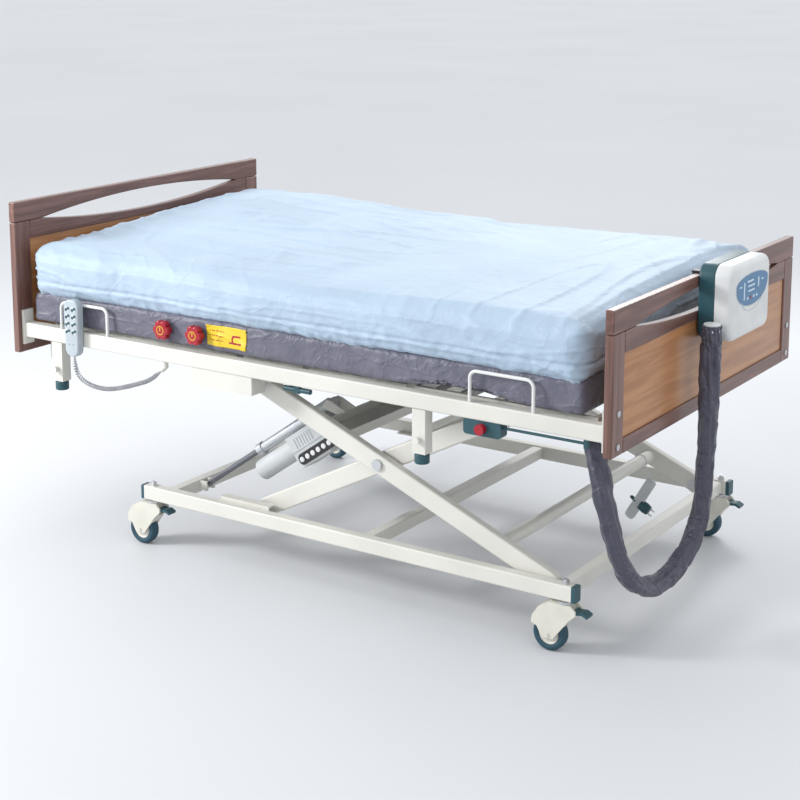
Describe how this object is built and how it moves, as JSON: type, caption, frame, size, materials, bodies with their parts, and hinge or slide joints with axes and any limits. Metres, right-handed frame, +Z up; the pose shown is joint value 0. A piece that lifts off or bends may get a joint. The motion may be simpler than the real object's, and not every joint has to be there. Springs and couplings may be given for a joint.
{
  "type": "adjustable hospital bed",
  "caption": "Height-adjustable hospital bed with scissor lift, wooden head and foot boards, sectioned mattress, air pump with hose sleeve, handset and braked casters.",
  "frame": {"origin": "on the floor, midway between the boards' outer faces and midway across the bed", "axes": "+X to the foot end, +Y to the far side, +Z up"},
  "size_m": [2.299, 1.279, 1.098],
  "materials": {
    "cream_paint": "satin",
    "white_wire": "satin",
    "steel": "satin",
    "aluminium_tube": "satin",
    "wood_frame": "satin",
    "wood_panel": "satin",
    "caster_cream": "satin",
    "caster_tyre": "matte",
    "grey_plastic": "matte",
    "dark_teal": "matte",
    "black_plastic": "matte",
    "red_plastic": "satin",
    "white_plastic": "satin",
    "mattress_cover": "matte",
    "handset_grey": "satin",
    "sleeve_fabric": "matte",
    "cord_grey": "matte",
    "slide_nylon": "matte"
  },
  "bodies": {
    "base": {"base_side_rails": "cream_paint", "base_crossbars": "cream_paint", "base_end_caps": "dark_teal", "arm_base_pins": "steel", "caster_stems": "steel"},
    "outer_arms": {"outer_scissor_frame": "cream_paint", "crossing_bolts": "steel", "top_slide_pads": "slide_nylon"},
    "inner_arms": {"inner_scissor_frame": "cream_paint", "base_slide_pads": "slide_nylon"},
    "lift_rod": {"lift_actuator_rod": "steel"},
    "lift_motor": {"lift_actuator_tube": "aluminium_tube", "lift_motor_housing": "grey_plastic"},
    "upper_frame": {"side_rails": "cream_paint", "frame_crossbars": "cream_paint", "frame_sockets": "cream_paint", "clamp_knobs": "black_plastic", "board_brackets": "cream_paint", "release_housing": "dark_teal", "headboard_frame": "wood_frame", "headboard_panel": "wood_panel", "footboard_frame": "wood_frame", "footboard_panel": "wood_panel", "board_bolts": "steel", "mattress_hoops": "white_wire", "seat_section": "cream_paint", "mattress_seat": "mattress_cover", "pump_rear_shell": "dark_teal", "pump_front_shell": "white_plastic", "pump_compressor": "grey_plastic", "pump_hooks": "black_plastic", "hose_sleeve": "sleeve_fabric", "hose_fittings": "white_plastic", "handset_body": "handset_grey", "handset_cord": "cord_grey"},
    "release_knob": {"leg_release_knob": "red_plastic"},
    "backrest": {"backrest_section": "cream_paint", "mattress_back": "mattress_cover"},
    "valve_1": {"valve_knob_1": "red_plastic"},
    "valve_2": {"valve_knob_2": "red_plastic"},
    "thigh": {"thigh_section": "cream_paint", "mattress_thigh": "mattress_cover"},
    "leg": {"leg_section": "cream_paint", "mattress_leg": "mattress_cover"},
    "back_actuator": {"back_actuator_body": "grey_plastic"},
    "back_rod": {"back_actuator_rod": "steel"},
    "leg_actuator": {"leg_actuator_body": "grey_plastic"},
    "leg_rod": {"leg_actuator_rod": "steel"},
    "fork_1": {"caster_fork_1": "caster_cream"},
    "wheel_1": {"caster_wheel_1": "caster_tyre"},
    "pedal_1": {"brake_pedal_1": "grey_plastic"},
    "fork_2": {"caster_fork_2": "caster_cream"},
    "wheel_2": {"caster_wheel_2": "caster_tyre"},
    "pedal_2": {"brake_pedal_2": "grey_plastic"},
    "fork_3": {"caster_fork_3": "caster_cream"},
    "wheel_3": {"caster_wheel_3": "caster_tyre"},
    "pedal_3": {"brake_pedal_3": "grey_plastic"},
    "fork_4": {"caster_fork_4": "caster_cream"},
    "wheel_4": {"caster_wheel_4": "caster_tyre"},
    "pedal_4": {"brake_pedal_4": "grey_plastic"}
  },
  "joints": [
    {"name": "height", "type": "slide", "parent": "base", "child": "upper_frame", "axis": [0, 0, 1], "range_m": [-0.235, 0.05]},
    {"name": "outer_arm_pivot", "type": "hinge", "parent": "base", "child": "outer_arms", "pos_m": [0.85, 0, 0.185], "axis": [0, 1, 0], "range_deg": [-13, 3]},
    {"name": "inner_arm_pivot", "type": "hinge", "parent": "upper_frame", "child": "inner_arms", "pos_m": [0.6646, 0, 0.62], "axis": [0, 1, 0], "range_deg": [-4, 16]},
    {"name": "lift_rod_pivot", "type": "hinge", "parent": "base", "child": "lift_rod", "pos_m": [-0.487, -0.385, 0.182], "axis": [0, 1, 0], "range_deg": [-4, 16]},
    {"name": "lift_extension", "type": "slide", "parent": "lift_rod", "child": "lift_motor", "axis": [0.8169, 0, 0.5768], "range_m": [-0.135, 0.03]},
    {"name": "backrest_tilt", "type": "hinge", "parent": "upper_frame", "child": "backrest", "pos_m": [-0.2, 0, 0.685], "axis": [0, 1, 0], "range_deg": [0, 70]},
    {"name": "thigh_tilt", "type": "hinge", "parent": "upper_frame", "child": "thigh", "pos_m": [0.05, 0, 0.685], "axis": [0, -1, 0], "range_deg": [0, 35]},
    {"name": "leg_tilt", "type": "hinge", "parent": "thigh", "child": "leg", "pos_m": [0.42, 0, 0.685], "axis": [0, -1, 0], "range_deg": [-58, 0]},
    {"name": "back_actuator_pivot", "type": "hinge", "parent": "upper_frame", "child": "back_actuator", "pos_m": [-1, 0.17, 0.6], "axis": [0, 1, 0], "range_deg": [-8, 2]},
    {"name": "back_actuator_stroke", "type": "slide", "parent": "back_actuator", "child": "back_rod", "axis": [0.9997, 0, -0.0244], "range_m": [-0.13, 0.005]},
    {"name": "leg_actuator_pivot", "type": "hinge", "parent": "upper_frame", "child": "leg_actuator", "pos_m": [0.65, -0.15, 0.624], "axis": [0, 1, 0], "range_deg": [-3, 3]},
    {"name": "leg_actuator_stroke", "type": "slide", "parent": "leg_actuator", "child": "leg_rod", "axis": [-1, 0, 0.01], "range_m": [-0.05, 0.005]},
    {"name": "leg_release_push", "type": "slide", "parent": "upper_frame", "child": "release_knob", "axis": [0, 1, 0], "range_m": [-0.006, 0], "stiffness_N_per_m": 300},
    {"name": "valve_turn_1", "type": "hinge", "parent": "backrest", "child": "valve_1", "pos_m": [-0.466, -0.61, 0.75], "axis": [0, 1, 0], "range_deg": [0, 90]},
    {"name": "valve_turn_2", "type": "hinge", "parent": "backrest", "child": "valve_2", "pos_m": [-0.336, -0.61, 0.75], "axis": [0, 1, 0], "range_deg": [0, 90]},
    {"name": "caster_swivel_1", "type": "hinge", "parent": "base", "child": "fork_1", "pos_m": [-0.585, -0.5365, 0.13], "axis": [0, 0, 1], "continuous": true},
    {"name": "wheel_spin_1", "type": "hinge", "parent": "fork_1", "child": "wheel_1", "pos_m": [-0.63, -0.5365, 0.05], "axis": [0, 1, 0], "continuous": true},
    {"name": "brake_press_1", "type": "hinge", "parent": "fork_1", "child": "pedal_1", "pos_m": [-0.552, -0.5365, 0.128], "axis": [0, 1, 0], "range_deg": [0, 15]},
    {"name": "caster_swivel_2", "type": "hinge", "parent": "base", "child": "fork_2", "pos_m": [0.92, -0.5365, 0.13], "axis": [0, 0, 1], "continuous": true},
    {"name": "wheel_spin_2", "type": "hinge", "parent": "fork_2", "child": "wheel_2", "pos_m": [0.875, -0.5365, 0.05], "axis": [0, 1, 0], "continuous": true},
    {"name": "brake_press_2", "type": "hinge", "parent": "fork_2", "child": "pedal_2", "pos_m": [0.953, -0.5365, 0.128], "axis": [0, 1, 0], "range_deg": [0, 15]},
    {"name": "caster_swivel_3", "type": "hinge", "parent": "base", "child": "fork_3", "pos_m": [-0.585, 0.5365, 0.13], "axis": [0, 0, 1], "continuous": true},
    {"name": "wheel_spin_3", "type": "hinge", "parent": "fork_3", "child": "wheel_3", "pos_m": [-0.63, 0.5365, 0.05], "axis": [0, 1, 0], "continuous": true},
    {"name": "brake_press_3", "type": "hinge", "parent": "fork_3", "child": "pedal_3", "pos_m": [-0.552, 0.5365, 0.128], "axis": [0, 1, 0], "range_deg": [0, 15]},
    {"name": "caster_swivel_4", "type": "hinge", "parent": "base", "child": "fork_4", "pos_m": [0.92, 0.5365, 0.13], "axis": [0, 0, 1], "continuous": true},
    {"name": "wheel_spin_4", "type": "hinge", "parent": "fork_4", "child": "wheel_4", "pos_m": [0.875, 0.5365, 0.05], "axis": [0, 1, 0], "continuous": true},
    {"name": "brake_press_4", "type": "hinge", "parent": "fork_4", "child": "pedal_4", "pos_m": [0.953, 0.5365, 0.128], "axis": [0, 1, 0], "range_deg": [0, 15]}
  ],
  "couplings": [
    {"joint": "outer_arm_pivot", "follows": "height", "rad_per_m": 0.911},
    {"joint": "inner_arm_pivot", "follows": "height", "rad_per_m": -1.1068},
    {"joint": "lift_rod_pivot", "follows": "height", "rad_per_m": -1.1251},
    {"joint": "lift_extension", "follows": "height", "ratio": 0.5557},
    {"joint": "leg_tilt", "follows": "thigh_tilt", "ratio": -1.6},
    {"joint": "back_actuator_pivot", "follows": "backrest_tilt", "ratio": -0.05495},
    {"joint": "back_actuator_stroke", "follows": "backrest_tilt", "m_per_rad": -0.0912},
    {"joint": "leg_actuator_pivot", "follows": "thigh_tilt", "ratio": 0.02954},
    {"joint": "leg_actuator_stroke", "follows": "thigh_tilt", "m_per_rad": -0.05133}
  ]
}
